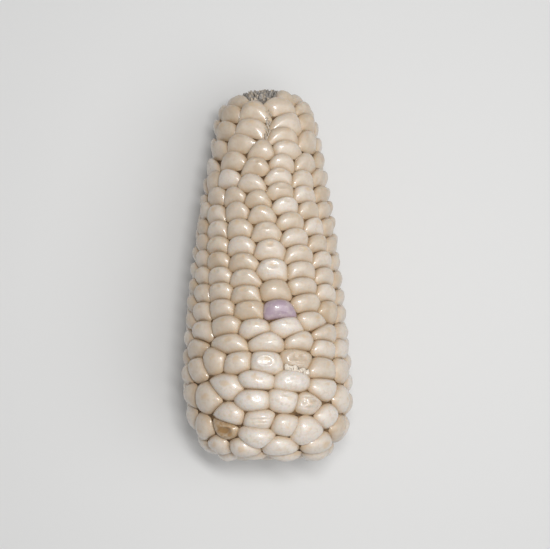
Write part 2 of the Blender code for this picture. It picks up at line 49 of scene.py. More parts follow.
EAR_LENGTH = 0.1275
BUTT_RADIUS = 0.0300
TIP_RADIUS = 0.0163
BULGE = 0.003
BUTT_CREST = 0.0140
BUTT_CURL = 0.0045
BUTT_ROUNDING = (0.030, 2.2)
TIP_ROUNDING = (0.012, 2.3)
BUTT_SKEW = 0.0017
SKEW_LENGTH = 0.055
TILT = math.radians(5.3)
MIDDLE = 0.0632
FLAT_DEPTH = 0.0009
COB_DEPTH = 0.0030
COB_LIP = 0.0034
SHANK_HOLE = 0.0080
SHANK_HOLE_DEPTH = 0.0140
TIP_HOLE = 0.0050
TIP_HOLE_DEPTH = 0.0065
COB_SIDES = 96


def end_rounding(distance, length, power):
    """How full the ear is at this distance from an end: 0 at the end, 1 past its rounding."""
    return (1 - np.clip(1 - distance / length, 0, 1) ** power) ** (1 / power)


# The ear's outline over the crowns, from the hollow of the butt over its crest to the tip: the
# height and radius of its points, how far along it they are, and which way is out.
crest_turn = np.linspace(math.pi / 2, 0, 60)[:-1]
share = (1 - np.cos(np.linspace(0, math.pi, 900))) / 2
side = BUTT_RADIUS + (TIP_RADIUS - BUTT_RADIUS) * share + BULGE * np.sin(math.pi * share)
side = BUTT_CREST + (side - BUTT_CREST) * end_rounding(EAR_LENGTH * share, *BUTT_ROUNDING)
side *= end_rounding(EAR_LENGTH * (1 - share), *TIP_ROUNDING)
AXIAL = np.concatenate([BUTT_CURL * (1 - np.cos(crest_turn)), EAR_LENGTH * share])
RADIUS = np.concatenate([BUTT_CREST - BUTT_CURL * np.sin(crest_turn), side])
STEPS = np.hypot(np.diff(AXIAL), np.diff(RADIUS))
ALONG = np.concatenate([[0], np.cumsum(STEPS)])
outward = np.array([-np.gradient(RADIUS, ALONG), np.gradient(AXIAL, ALONG)])
OUTWARD = outward / np.hypot(*outward)

lowest = (RADIUS * math.cos(TILT) + (AXIAL - MIDDLE) * math.sin(TILT)).max()
PLACE = (
    Matrix.Translation((0, 0, lowest - FLAT_DEPTH))
    @ Matrix.Rotation(-TILT, 4, "X")
    @ Matrix.Translation((0, -MIDDLE, 0))
)


def lay_down(points):
    """Takes points of the ear's own frame, with its butt at the origin and its axis along +Y, to
    where it lies: the butt a little lopsided, and the ear dipping towards its tip."""
    points = np.array(points, float).reshape(-1, 3)
    points[:, 0] += BUTT_SKEW * np.clip(1 - points[:, 1] / SKEW_LENGTH, 0, None) ** 2
    place = np.array(PLACE)
    return points @ place[:3, :3].T + place[:3, 3]


def coordinates(mesh):
    """The mesh's points, one to a row."""
    flat = np.empty(len(mesh.vertices) * 3)
    mesh.vertices.foreach_get("co", flat)
    return flat.reshape(-1, 3)


def move_to(mesh, points):
    """Gives the mesh's points new places."""
    mesh.vertices.foreach_set("co", np.asarray(points, float).ravel())
    mesh.update()


def turned_piece(name, profile, sides):
    """A closed body turned about the ear's axis, from a profile of (height, radius) points."""
    bpy.ops.object.select_all(action="DESELECT")
    bpy.ops.mesh.primitive_plane_add(size=0.001)
    piece = bpy.context.object
    piece.name = piece.data.name = name
    bpy.ops.object.mode_set(mode="EDIT")
    bpy.ops.mesh.merge(type="CENTER")
    axial, radius = profile[0]
    bpy.ops.transform.translate(value=(radius, axial, 0))
    for (axial, radius), (next_axial, next_radius) in zip(profile, profile[1:]):
        step = (next_radius - radius, next_axial - axial, 0)
        bpy.ops.mesh.extrude_region_move(TRANSFORM_OT_translate={"value": step})
    bpy.ops.mesh.select_all(action="SELECT")
    bpy.ops.mesh.spin(steps=sides, angle=2 * math.pi, center=(0, 0, 0), axis=(0, 1, 0))
    bpy.ops.mesh.select_all(action="SELECT")
    bpy.ops.mesh.remove_doubles(threshold=0.00001)
    bpy.ops.mesh.normals_make_consistent(inside=False)
    bpy.ops.object.mode_set(mode="OBJECT")
    return piece


def finish_made(name, roughness, coat=0.0):
    """A new material, with its nodes and its shader."""
    finish = bpy.data.materials.new(name)
    finish.use_nodes = True
    shader = finish.node_tree.nodes["Principled BSDF"]
    shader.inputs["Roughness"].default_value = roughness
    shader.inputs["Coat Weight"].default_value = coat
    return finish, finish.node_tree, shader


def node(tree, kind, settings=(), **inputs):
    """Adds a node. Settings are its own fields. Inputs, by name or by number as in i0, are values
    or sockets to link."""
    made = tree.nodes.new(kind)
    for field, value in dict(settings).items():
        setattr(made, field, value)
    for name, value in inputs.items():
        numbered = name[1:].isdigit()
        socket = made.inputs[int(name[1:]) if numbered else name.replace("_", " ")]
        if isinstance(value, bpy.types.NodeSocket):
            tree.links.new(value, socket)
        else:
            socket.default_value = value
    return made


def mixed(tree, amount, first, second):
    """A colour mixed from two others, by an amount that is a number or a socket."""
    made = node(tree, "ShaderNodeMix", {"data_type": "RGBA"}, i0=amount, i6=first, i7=second)
    return made.outputs[2]


def spread_of(tree, value, low, high, start=0.0, end=1.0):
    """A value from low to high, taken smoothly to one from start to end."""
    made = node(
        tree, "ShaderNodeMapRange", {"interpolation_type": "SMOOTHSTEP"},
        Value=value, From_Min=low, From_Max=high, To_Min=start, To_Max=end,
    )
    return made.outputs["Result"]


def noise(tree, place, scale, detail=3.0, roughness=0.55):
    """A cloudy value over the surface."""
    settings = {"Scale": scale, "Detail": detail, "Roughness": roughness}
    return node(tree, "ShaderNodeTexNoise", Vector=place, **settings).outputs["Fac"]


cob_profile = [(SHANK_HOLE_DEPTH, 0.0), (SHANK_HOLE_DEPTH, SHANK_HOLE)]
cob_profile.append((BUTT_CURL + 0.0015, SHANK_HOLE))
for place in np.linspace(0.0008, ALONG[-1], 90):
    axial, radius = np.interp(place, ALONG, AXIAL), np.interp(place, ALONG, RADIUS)
    axial -= COB_DEPTH * np.interp(place, ALONG, OUTWARD[0])
    radius -= COB_DEPTH * np.interp(place, ALONG, OUTWARD[1])
    if axial < EAR_LENGTH - COB_LIP and radius > TIP_HOLE:
        cob_profile.append((float(axial), float(radius)))
cob_profile += [(EAR_LENGTH - COB_LIP, TIP_HOLE), (EAR_LENGTH - TIP_HOLE_DEPTH, TIP_HOLE)]
cob_profile += [(EAR_LENGTH - TIP_HOLE_DEPTH, 0.0)]
cob = turned_piece("woody_cob", cob_profile, COB_SIDES)
move_to(cob.data, lay_down(coordinates(cob.data)))

woody, tree, shader = finish_made("woody_cob", 0.9)
place = node(tree, "ShaderNodeTexCoord").outputs["Object"]
coarse = noise(tree, place, 700.0, 4.0)
dark, light = (0.06, 0.030, 0.012, 1), (0.21, 0.125, 0.055, 1)
colour = mixed(tree, spread_of(tree, coarse, 0.35, 0.65), dark, light)
up_ear = node(tree, "ShaderNodeSeparateXYZ", Vector=place).outputs["Y"]
colour = mixed(tree, spread_of(tree, up_ear, 0.050, 0.058), colour, (0.24, 0.21, 0.18, 1))
tree.links.new(colour, shader.inputs["Base Color"])
relief = node(tree, "ShaderNodeBump", Height=coarse, Distance=0.0006, Strength=0.8)
tree.links.new(relief.outputs["Normal"], shader.inputs["Normal"])
cob.data.materials.append(woody)
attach(cob, "root")

# ------------------------------------------------------------------------------ the white grains
# Each grain is a plump floury seed under a thin waxy skin. It grows from the cob in a row, squeezed
# by its neighbours into a rounded hexagon that is wider than it is long, with a domed crown that
# leans towards the tip. Those with marks are one piece, and the rest are three along the ear.

# Where each row starts, nearer the tip, and where it ends: some don't run the whole length.
TIP_END = EAR_LENGTH
BUTT_END = -1.0
ROWS = (
    (TIP_END, BUTT_END),
    (0.086, 0.026),
    (0.105, 0.004),
    (TIP_END, BUTT_END),
    (TIP_END, -0.003),
    (0.099, 0.009),
    (TIP_END, BUTT_END),
    (TIP_END, BUTT_END),
    (0.104, 0.007),
    (TIP_END, -0.004),
    (TIP_END, BUTT_END),
    (0.084, 0.005),
    (TIP_END, BUTT_END),
    (TIP_END, -0.003),
    (0.100, 0.007),
    (TIP_END, BUTT_END),
)
# The rows sway together round the ear, and each one starts and ends gradually.
GUIDE_ROW = 2
SWAY = math.radians(12.5)
SWAY_LENGTH = 0.080
SWAY_TURN = 0.091
ROW_FADE = 0.006
ROW_LEAST = 0.55
# Near the butt the grains are larger, looser and less drawn out sideways.
BUTT_ZONE = 0.040
BUTT_STRETCH = 1.30
STRETCH = 1.8
GROOVE_DEPTH = 0.0022
BUTT_PITCH = 0.0086
PITCH = 0.0059
TIP_PITCH = 0.0056
PITCHES = ((0.004, BUTT_ZONE, 0.8 * EAR_LENGTH), (BUTT_PITCH, PITCH, TIP_PITCH))
JITTER = 0.07
BUTT_JITTER = 0.45
UNEVEN = 0.04
BUTT_UNEVEN = 0.28
SETTLING_STEPS = 25
SETTLING_PUSH = 0.12
END_ROOM = 0.42
TIP_LEAN = 0.45
# The last grains stop in a notch at the tip, and a little lower on one side.
TIP_RIM = 0.0064
TIP_NOTCH = math.radians(-8)
TIP_NOTCH_DROP = 0.0110
TIP_NOTCH_NARROWING = 8
TIP_LOW_SIDE = math.radians(-90)
TIP_SIDE_DROP = 0.0024
TIP_SIDE_NARROWING = 2
GRAIN_SEED = 64

# The purple grain, then the grains of the ear's upper side, each set in its own place: (station in
# mm, angle in degrees). The grains of the rows keep clear of them.
PURPLE_PLACE = (48, 9)
PLACED_GRAINS = (
    (115.6, -14), (118.2, 18), (109.5, -18), (111.5, 27), (107, 20), (104.5, -27), (101.4, -4),
    (102.5, 21), (98.7, -35), (95.9, -9), (97.6, 16), (98, 44), (92.5, -39), (90.3, -14),
    (92.8, 12), (92.5, 39), (86.5, -30), (84.8, -8), (87.6, 14), (87.2, 38), (87.2, -51),
    (81.2, -26), (79.7, -4), (82.8, 18), (82, 41), (81, -50), (75.2, -23), (73.8, 0), (77.6, 22),
    (76.6, 46), (75.6, -46), (69.2, -21), (67.8, 3), (72.2, 25), (71.1, 49), (70.2, -44),
    (63.8, -19), (61.3, 5), (66.6, 28), (65.8, 53), (65, -42), (58.5, -17), (54.2, 7), (61.4, 29),
    (60.4, 54), (60, -39), (53.3, -16), (56.2, 30), (54.8, 54), (54.6, -37), (48.3, -13), (51, 33),
    (49, 54), (49.1, -35), (45, 36), (41, 47), (36.5, 45), (42, -9), (42.5, 15), (43.5, -30),
    (38.5, 25), (38, 0), (37.5, -27), (32.5, -40), (32.5, 22), (31.5, -21), (31, -1), (30, 42),
    (25.5, -8), (25, 17), (23.5, -29), (23, 42), (20, -47), (19, -11), (19, 11), (18, 29),
    (14, 48), (14.5, -30), (12.5, -7), (10.5, 12), (9, 30), (9, -38), (6.5, -11), (4.5, 50),
    (9.5, -61), (4.5, -53), (3, -27), (3.5, 7),
)
CLEAR_OF_PLACED = 0.72


def looseness(station):
    """How irregular the grains are: 1 at the butt, falling to 0 where the rows are neat."""
    return 1 - np.clip(station / BUTT_ZONE, 0, 1)


# The skin is also taken as a flat map: across it the angle round the ear, and up it MAP_Y, which
# is stretched so that each grain is a regular hexagon. STATION is the distance from the butt, less
# than 0 inside its hollow, and LEAN is how far the crowns lean on the map.
STATION = np.concatenate([-BUTT_CURL * (1 - np.cos(crest_turn)), EAR_LENGTH * share])
RATE = (STRETCH + (BUTT_STRETCH - STRETCH) * looseness(STATION)) / np.maximum(RADIUS, 0.002)
MAP_Y = np.concatenate([[0], np.cumsum(STEPS * (RATE[1:] + RATE[:-1]) / 2)])
LEAN = 1.5 * TIP_LEAN * RATE * np.clip(STATION / EAR_LENGTH, 0, 1)


def on_ear(axial, radius, angle):
    """Points where the ear lies, from their height, radius and angle about its axis."""
    return lay_down(np.column_stack([radius * np.sin(angle), axial, radius * np.cos(angle)]))


def skin_point(angle, map_y, depth):
    """Points of the ear at places on the map, this deep under the crowns."""
    map_y = map_y + (GROOVE_DEPTH - depth) * np.interp(map_y, MAP_Y, LEAN)
    axial = np.interp(map_y, MAP_Y, AXIAL) - depth * np.interp(map_y, MAP_Y, OUTWARD[0])
    radius = np.interp(map_y, MAP_Y, RADIUS) - depth * np.interp(map_y, MAP_Y, OUTWARD[1])
    return on_ear(axial, radius, angle)


def narrowed_to(radius):
    """The place along the outline where the tip's end has narrowed to this radius."""
    half = len(RADIUS) // 2
    return np.interp(-radius, -RADIUS[half:], ALONG[half:])


def tip_rim(angle):
    """Where on the map the grains stop: lower in a notch, and a little lower on one side."""
    rim = narrowed_to(TIP_RIM)
    notch = ((1 + np.cos(angle - TIP_NOTCH)) / 2) ** TIP_NOTCH_NARROWING
    side = ((1 + np.cos(angle - TIP_LOW_SIDE)) / 2) ** TIP_SIDE_NARROWING
    return np.interp(rim - TIP_NOTCH_DROP * notch - TIP_SIDE_DROP * side, ALONG, MAP_Y)


def row_weights(station):
    """The share of a full row's width that each row has here: 0 beyond its start or its end."""
    begun, going = [], []
    for start, end in ROWS:
        begun.append(np.clip((start - station) / ROW_FADE, 0, 1) if start < TIP_END else 1.0)
        going.append(np.clip((station - end) / ROW_FADE, 0, 1))
    return np.array(begun) * np.array(going)


def row_angle(row, station):
    """The angle round the ear of the middle of a row, counted from the guide row, which sways."""
    weights = row_weights(station)
    middles = np.cumsum(weights) - weights / 2
    turns = (middles[row] - middles[GUIDE_ROW]) / weights.sum()
    return 2 * math.pi * turns - SWAY * math.cos(2 * math.pi * (station - SWAY_TURN) / SWAY_LENGTH)


def wrapped(angle):
    """The same angle within half a turn of 0."""
    return (angle + math.pi) % (2 * math.pi) - math.pi


def row_widths(spots):
    """How wide a row is on the map at each of these spots."""
    stations = np.interp(spots[:, 1], MAP_Y, STATION)
    return np.array([2 * math.pi / row_weights(station).sum() for station in stations])


draw = random.Random(GRAIN_SEED)
spots = []
for row in range(len(ROWS)):
    along = float(np.interp(tip_rim(row_angle(row, EAR_LENGTH)), MAP_Y, ALONG))
    along -= TIP_PITCH * (0.55 + 0.5 * (row % 2) + draw.uniform(-0.12, 0.12))
    while along > 0.45 * BUTT_PITCH:
        station = float(np.interp(along, ALONG, STATION))
        if row_weights(station)[row] > ROW_LEAST:
            spread = (JITTER + (BUTT_JITTER - JITTER) * looseness(station)) * math.pi / len(ROWS)
            map_y = float(np.interp(along, ALONG, MAP_Y))
            angle = row_angle(row, station) + draw.gauss(0, spread)
            spots.append([angle, map_y + draw.gauss(0, spread)])
        pitch = float(np.interp(station, *PITCHES))
        along -= pitch * draw.uniform(0.93, 1.07)
spots = np.array(spots)
placed = []
for station_mm, degrees in (PURPLE_PLACE,) + PLACED_GRAINS:
    placed.append((math.radians(degrees), np.interp(station_mm / 1000, STATION, MAP_Y)))
placed = np.array(placed)
across = wrapped(spots[:, None, 0] - placed[None, :, 0])
along = spots[:, None, 1] - placed[None, :, 1]
clear = np.hypot(across, along).min(axis=1) > CLEAR_OF_PLACED * row_widths(spots)
spots = np.vstack([placed, spots[clear]])
free = np.arange(len(spots)) >= len(placed)
purple = 0

# The grains push each other to about one row's width apart. The placed ones stay where they are.
uneven = UNEVEN + (BUTT_UNEVEN - UNEVEN) * looseness(np.interp(spots[:, 1], MAP_Y, STATION))
sizes = 1 + uneven * np.array([draw.uniform(-1, 1) for _ in spots])
for _ in range(SETTLING_STEPS):
    width = row_widths(spots) * sizes
    across = wrapped(spots[:, None, 0] - spots[None, :, 0])
    along = spots[:, None, 1] - spots[None, :, 1]
    distance = np.hypot(across, along) / ((width[:, None] + width[None, :]) / 2)
    push = np.clip(1.0 - distance, 0, None) * (distance > 0) / np.maximum(distance, 0.05)
    spots[:, 0] += SETTLING_PUSH * (push * across).sum(axis=1) * free
    spots[:, 1] += SETTLING_PUSH * (push * along).sum(axis=1) * free
    spots[:, 1] = np.clip(spots[:, 1], END_ROOM * width, tip_rim(spots[:, 0]) - END_ROOM * width)
spots[:, 0] = wrapped(spots[:, 0])

# Which grains touch. A ring of points past each end closes the last grains.
rings = []
for rim, way, station in ((np.zeros_like, -1, -BUTT_CURL), (tip_rim, 1, EAR_LENGTH)):
    count = round(row_weights(station).sum())
    angles = 2 * math.pi * np.arange(count) / count - math.pi
    rings.append(np.column_stack([angles, rim(angles) + way * END_ROOM * 2 * math.pi / count]))
sites = np.vstack([spots] + rings)
map_points = np.vstack([sites + (turn, 0) for turn in (-2 * math.pi, 0, 2 * math.pi)])
touching = [set() for _ in spots]
for triangle in delaunay_2d_cdt([Vector(p) for p in map_points], [], [], 0, 1e-9)[2]:
    for corner in triangle:
        if 0 <= corner - len(sites) < len(spots):
            touching[corner - len(sites)].update(k % len(sites) for k in triangle)
steps_to = []
for k, others in enumerate(touching):
    steps = sites[sorted(others - {k})] - spots[k]
    steps[:, 0] = wrapped(steps[:, 0])
    steps_to.append(steps)

grain_station = np.interp(spots[:, 1], MAP_Y, STATION)


def nearest_grain(station_mm, degrees):
    """The number of the grain nearest to a place on the ear."""
    y = np.interp(station_mm / 1000, STATION, MAP_Y)
    return int(np.argmin(np.hypot(wrapped(spots[:, 0] - math.radians(degrees)), spots[:, 1] - y)))


def raw_grain(name, fineness):
    """A grain before it is squeezed: half a ball for the crown, and a stubby root below it."""
    bpy.ops.object.select_all(action="DESELECT")
    bpy.ops.mesh.primitive_cube_add(size=2)
    grain = bpy.context.object
    grain.name = grain.data.name = name
    bpy.ops.object.mode_set(mode="EDIT")
    bpy.ops.mesh.subdivide(number_cuts=2)
    bpy.ops.object.mode_set(mode="OBJECT")
    rounding = grain.modifiers.new("rounding", "SUBSURF")
    rounding.levels = rounding.render_levels = fineness
    bpy.ops.object.modifier_apply(modifier="rounding")
    bpy.ops.object.mode_set(mode="EDIT")
    bpy.ops.mesh.select_all(action="SELECT")
    bpy.ops.transform.tosphere(value=1)
    bpy.ops.mesh.bisect(plane_co=(0, 0, 0), plane_no=(0, 0, 1), clear_inner=True)
    bpy.ops.mesh.extrude_region_move(TRANSFORM_OT_translate={"value": (0, 0, -1)})
    bpy.ops.mesh.edge_face_add()
    bpy.ops.object.mode_set(mode="OBJECT")
    points = coordinates(grain.data)
    ball = points[:, 2] > -1e-4
    size = np.median(np.linalg.norm(points[ball], axis=1))
    points[:, :2] /= size
    points[ball, 2] /= size
    points[~ball, 2] = -1
    move_to(grain.data, points)
    return grain


ROOT_DEPTH = 0.0052
ROOT_TAPER = 0.20
WAVE_HEIGHT = 0.00010


def grain_copied(raw, k, look):
    """A copy of the raw grain, squeezed into its place. The look holds what sets it apart:
    crown, how full its dome is, and height, how far its edge drops from the top,
    round and corners, how square its outline is near the top of its crown and at its foot,
    reach, how far it presses into its neighbours, and arch, how far its ends bend to the butt,
    sink, how low it lies, tip, how it tips across and along, and tilt, how its butt side drops,
    wave, the unevenness of its crown, and tint and stain, how tan and how brown it is,
    slits: (heading in degrees, how far it stands off its neighbour there),
    dents: (across, along, width, length, depth, how steep),
    scars, raised rings: (across, along, radius, thickness, height)."""
    grain = raw.copy()
    grain.data = raw.data.copy()
    bpy.context.scene.collection.objects.link(grain)
    points = coordinates(grain.data)
    rho = np.clip(np.hypot(points[:, 0], points[:, 1]), 0, 1)
    up = np.clip(points[:, 2], 0, 1)
    down = np.clip(-points[:, 2], 0, 1)
    way = points[:, :2] / np.maximum(rho, 1e-9)[:, None]
    steps = steps_to[k]
    reach = np.clip((way @ steps.T) / ((steps**2).sum(axis=1) / 2), 0, None)
    fill = rho ** (2 / look["crown"])
    powers = (look["round"], look["corners"])
    round_edge, square_edge = (1 / (reach**p).sum(axis=1) ** (1 / p) for p in powers)
    edge = round_edge + (square_edge - round_edge) * np.clip(fill, 0, 1) ** 4
    offset = way * (edge * fill * look["reach"] * (1 - ROOT_TAPER * down))[:, None]
    size = np.hypot(*steps.T).mean() / 2
    u, v = offset[:, 0] / size, offset[:, 1] / size
    for degrees, gap in look["slits"]:
        heading = np.array([math.sin(math.radians(degrees)), math.cos(math.radians(degrees))])
        toward = np.clip(u * heading[0] + v * heading[1], 0, 1)
        offset -= (size * gap * toward**3)[:, None] * heading
    offset[:, 1] -= size * look["arch"] * (u**2 - 0.3)
    top = 1 - up
    depth = GROOVE_DEPTH * look["height"] * top + (ROOT_DEPTH - GROOVE_DEPTH) * down
    depth += look["sink"] * (1 - top * 0.5)
    depth += up * (look["tip"][0] * u + look["tip"][1] * v)
    depth += look["tilt"] * (1 - np.clip(v, -1, 1)) / 2
    wave = look["wave"]
    depth += up * WAVE_HEIGHT * (np.sin(3.1 * u + wave[0]) * np.sin(2.7 * v + wave[1]))
    for centre_u, centre_v, wide, long, deep, power in look["dents"]:
        away = np.hypot((u - centre_u) / wide, (v - centre_v) / long)
        depth += up**0.5 * deep * np.exp(-(away**power))
    for centre_u, centre_v, ring, thick, high in look["scars"]:
        away = np.hypot(u - centre_u, v - centre_v)
        depth -= up**0.5 * high * np.exp(-(((away - ring) / thick) ** 2))
    depth += max(0.0, -depth.min())
    laid = skin_point(spots[k, 0] + offset[:, 0], spots[k, 1] + offset[:, 1], depth)
    laid[:, 2] = np.maximum(laid[:, 2], 0.0)
    move_to(grain.data, laid)
    skin = grain.data.attributes.new("skin", "FLOAT_COLOR", "POINT")
    # How far down its side each point lies; the material darkens by this, partly as the grain's own
    # tan foot and partly as painted shade in the grooves.
    groove_shade = np.clip(top + 2 * down, 0, 1)
    values = np.ones((len(groove_shade), 4))
    values[:, 0], values[:, 1], values[:, 2] = groove_shade, look["tint"], look["stain"]
    skin.data.foreach_set("color", values.ravel())
    local = grain.data.attributes.new("own_place", "FLOAT_VECTOR", "POINT")
    local.data.foreach_set("vector", np.column_stack([u, v, top]).ravel())
    return grain


def joined(name, copies):
    """One smooth-shaded piece, joined from its copies."""
    bpy.ops.object.select_all(action="DESELECT")
    for copy in copies:
        copy.select_set(True)
    bpy.context.view_layer.objects.active = copies[0]
    bpy.ops.object.join()
    piece = bpy.context.object
    piece.name = piece.data.name = name
    bpy.ops.object.shade_smooth()
    return piece


def plain_look(k, draw):
    """What an ordinary grain is like at this place on the ear: rounder and whiter at the butt."""
    station = grain_station[k]
    loose = float(looseness(station))
    # Whiter at the butt and tanner towards the tip: the grains' own colour, but the steep rise past
    # 60 mm is partly painted shade darkening the tip end.
    tan_and_tip_shade = 0.58 - 0.40 * loose + 5.0 * max(0.0, station - 0.06)
    look = {
        "crown": 2.2 + draw.uniform(-0.15, 0.2),
        "round": 2.7 - 0.2 * loose + draw.uniform(-0.3, 0.3),
        "corners": 11.0 - 5.0 * loose + draw.uniform(-2, 1.5),
        "height": 1.45 + 0.2 * loose,
        "reach": 1.045,
        "tilt": 0.0008 * min(1.0, max(0.0, (station - 0.02) / 0.09)),
        "arch": 0.42 * min(1.0, max(0.0, (station - 0.02) / 0.05)),
        "sink": draw.uniform(0.0, 0.00020 + 0.0003 * loose),
        "tip": (draw.gauss(0, 0.00012), draw.gauss(0, 0.00010)),
        "slits": [],
        "wave": (draw.uniform(0, 6.28), draw.uniform(0, 6.28)),
        "tint": min(1.0, max(0.0, tan_and_tip_shade + draw.gauss(0, 0.20))),
        "stain": 0.0,
        "dents": [],
        "scars": [],
    }
    if draw.random() < 0.45:
        place = (draw.uniform(-0.3, 0.3), draw.uniform(-0.05, 0.4))
        size = (draw.uniform(0.25, 0.5), draw.uniform(0.10, 0.2))
        look["dents"].append((*place, *size, draw.uniform(0.0001, 0.00022), 2))
    return look


LOOK_SEED = 7
draw = random.Random(LOOK_SEED)
looks = [plain_look(k, draw) for k in range(len(spots))]

# Some grains have collapsed a little as they dried, or carry the round scar of the silk.
special = {}


def set_apart(station_mm, degrees, **changes):
    """Changes the look of the grain nearest to a place. The purple grain has its own."""
    k = nearest_grain(station_mm, degrees)
    if k != purple:
        looks[k].update(changes)
        special[k] = looks[k]


set_apart(
    61.3, 5, tint=0.2,
    dents=[(0, 0.05, 0.26, 0.34, 0.00055, 3)], scars=[(0, 0.05, 0.40, 0.10, 0.00008)],
)
set_apart(
    73.8, 0,
    dents=[(0.02, 0.15, 0.30, 0.32, 0.00028, 4), (-0.3, -0.1, 0.1, 0.1, 0.00015, 2)],
)
set_apart(
    67.8, 3,
    dents=[(0.0, 0.1, 0.20, 0.26, 0.00025, 3)], scars=[(0, 0.1, 0.32, 0.10, 0.00005)],
)
set_apart(
    31, -1, reach=1.09, corners=6.0, tint=0.05,
    dents=[(0, 0, 0.34, 0.34, 0.00055, 3)],
    scars=[(0, 0, 0.47, 0.10, 0.00022), (0, 0, 0.14, 0.10, 0.00016)],
)
set_apart(38, 0, tint=0.35, dents=[(0.05, 0.0, 0.45, 0.30, 0.00022, 4)])
set_apart(42.5, 15, reach=1.09, tint=0.1)
set_apart(23.5, -29, reach=1.06, tint=0.15)

# The collapsed grain with the torn skin.
set_apart(
    32.5, 22, tint=0.55, stain=0.25, sink=0.0006,
    dents=[
        (0, 0, 0.55, 0.5, 0.0007, 4), (0.2, 0.2, 0.12, 0.1, 0.0004, 2),
        (-0.2, 0.1, 0.10, 0.2, 0.0004, 2), (0.0, -0.3, 0.5, 0.08, -0.0003, 2),
    ],
)

# The swollen grains of the butt, some standing off their neighbours with a crack between.
set_apart(
    25, 17, reach=1.17, round=2.4, corners=5.0, tint=0.0, slits=[(175, 0.12)],
    dents=[
        (0, 0.25, 0.15, 0.12, 0.00030, 2), (-0.3, 0.1, 0.1, 0.16, 0.00022, 2),
        (0.15, -0.1, 0.1, 0.1, 0.00022, 2),
    ],
)
set_apart(
    25.5, -8, reach=1.12, corners=5.5, tint=0.05, slits=[(185, 0.17)],
    dents=[(0.3, 0.1, 0.2, 0.3, 0.0002, 2)],
)
set_apart(
    19, 11, reach=1.15, round=2.4, corners=5.0, tint=0.0, slits=[(150, 0.04)],
    dents=[(0, 0.45, 0.16, 0.12, 0.00035, 2), (-0.05, 0.1, 0.12, 0.2, 0.00015, 2)],
)
set_apart(19, -11, reach=1.13, corners=5.5, tint=0.0, dents=[(0.35, 0.2, 0.15, 0.3, 0.00022, 2)])
set_apart(6.5, -11, reach=1.32, round=2.4, corners=5.0, height=1.9, sink=-0.0004, tint=0.0)
set_apart(9, 30, reach=1.25, corners=5.5, height=1.8, tint=0.05)
set_apart(10.5, 12, tint=0.25, sink=0.0006, slits=[(40, 0.05)])

# The creased grain, the crumpled one, and the brown one that has dried out hollow.
set_apart(
    12.5, -7, tint=0.2, sink=0.0009,
    dents=[(0.05, 0.1, 0.6, 0.10, 0.0005, 2), (0.1, -0.2, 0.4, 0.08, 0.0004, 2)],
)
set_apart(
    18, 29, tint=0.2, stain=0.15, sink=0.0006, slits=[(205, 0.14)],
    dents=[
        (0.35, 0.30, 0.22, 0.15, 0.0008, 2), (-0.35, 0.15, 0.15, 0.32, 0.0006, 2),
        (0.1, -0.35, 0.45, 0.11, 0.0006, 2), (-0.1, 0.58, 0.3, 0.10, 0.0004, 2),
        (0.62, -0.1, 0.11, 0.2, 0.0005, 2), (0.05, 0.02, 0.10, 0.12, -0.0003, 2),
    ],
)
set_apart(
    9, -38, tint=1.0, stain=1.0, sink=0.0010, slits=[(90, 0.12), (270, 0.12)],
    dents=[(0.15, 0.05, 0.50, 0.34, 0.0015, 4), (-0.45, 0.0, 0.2, 0.2, 0.0006, 2)],
)

# The large grains round the tip, which part on both sides of the gap.
set_apart(115.6, -14, reach=1.13, crown=2.0, tip=(0.0007, 0.0), slits=[(90, 0.05)])
set_apart(109.5, -18, reach=1.08, crown=2.0, tip=(0.0007, 0.0), slits=[(90, 0.05)])
set_apart(104.5, -27, reach=1.08, crown=2.0, tip=(0.0006, 0.0))
set_apart(111.5, 27, reach=1.08, crown=2.0, tip=(-0.0006, 0.0))
set_apart(107, 20, crown=2.0, tip=(-0.0006, 0.0), slits=[(-90, 0.06)])
set_apart(118.2, 18, reach=1.12, slits=[(-90, 0.10)])
set_apart(121.5, 48, reach=1.12)
set_apart(119.5, -62, reach=1.20)

# Many grains of the neat rows keep the faint oval rim of the silk scar: (station, angle, radius).
for station_mm, degrees, size in (
    (58.5, -17, 0.32), (53.3, -16, 0.34), (48.3, -13, 0.36), (65, -42, 0.30), (75.6, -46, 0.30),
    (70.2, -44, 0.26), (92.8, 12, 0.28), (87.6, 14, 0.36), (82.8, 18, 0.30), (63.8, -19, 0.30),
    (60, -39, 0.34), (54.6, -37, 0.3), (37.5, -27, 0.26), (51, 33, 0.3), (95.9, -9, 0.26),
    (66.6, 28, 0.26),
):
    hollow = (0.0, 0.08, 0.9 * size, 0.9 * size, 0.00020, 3)
    set_apart(station_mm, degrees, dents=[hollow], scars=[(0.0, 0.08, size, 0.09, 0.00010)])

BUTT_GRAINS_END = 0.028
MIDDLE_GRAINS_END = 0.078
raw = raw_grain("raw_grain", 1)
fine_raw = raw_grain("fine_raw_grain", 3)
groups = {"butt_grains": [], "middle_grains": [], "tip_grains": [], "marked_grains": []}
for k, station in enumerate(grain_station):
    if k == purple:
        continue
    if k in special:
        groups["marked_grains"].append(grain_copied(fine_raw, k, looks[k]))
    elif station < BUTT_GRAINS_END:
        groups["butt_grains"].append(grain_copied(raw, k, looks[k]))
    elif station < MIDDLE_GRAINS_END:
        groups["middle_grains"].append(grain_copied(raw, k, looks[k]))
    else:
        groups["tip_grains"].append(grain_copied(raw, k, looks[k]))


def times(tree, first, second):
    """Two values multiplied."""
    return node(tree, "ShaderNodeMath", {"operation": "MULTIPLY"}, i0=first, i1=second).outputs[0]
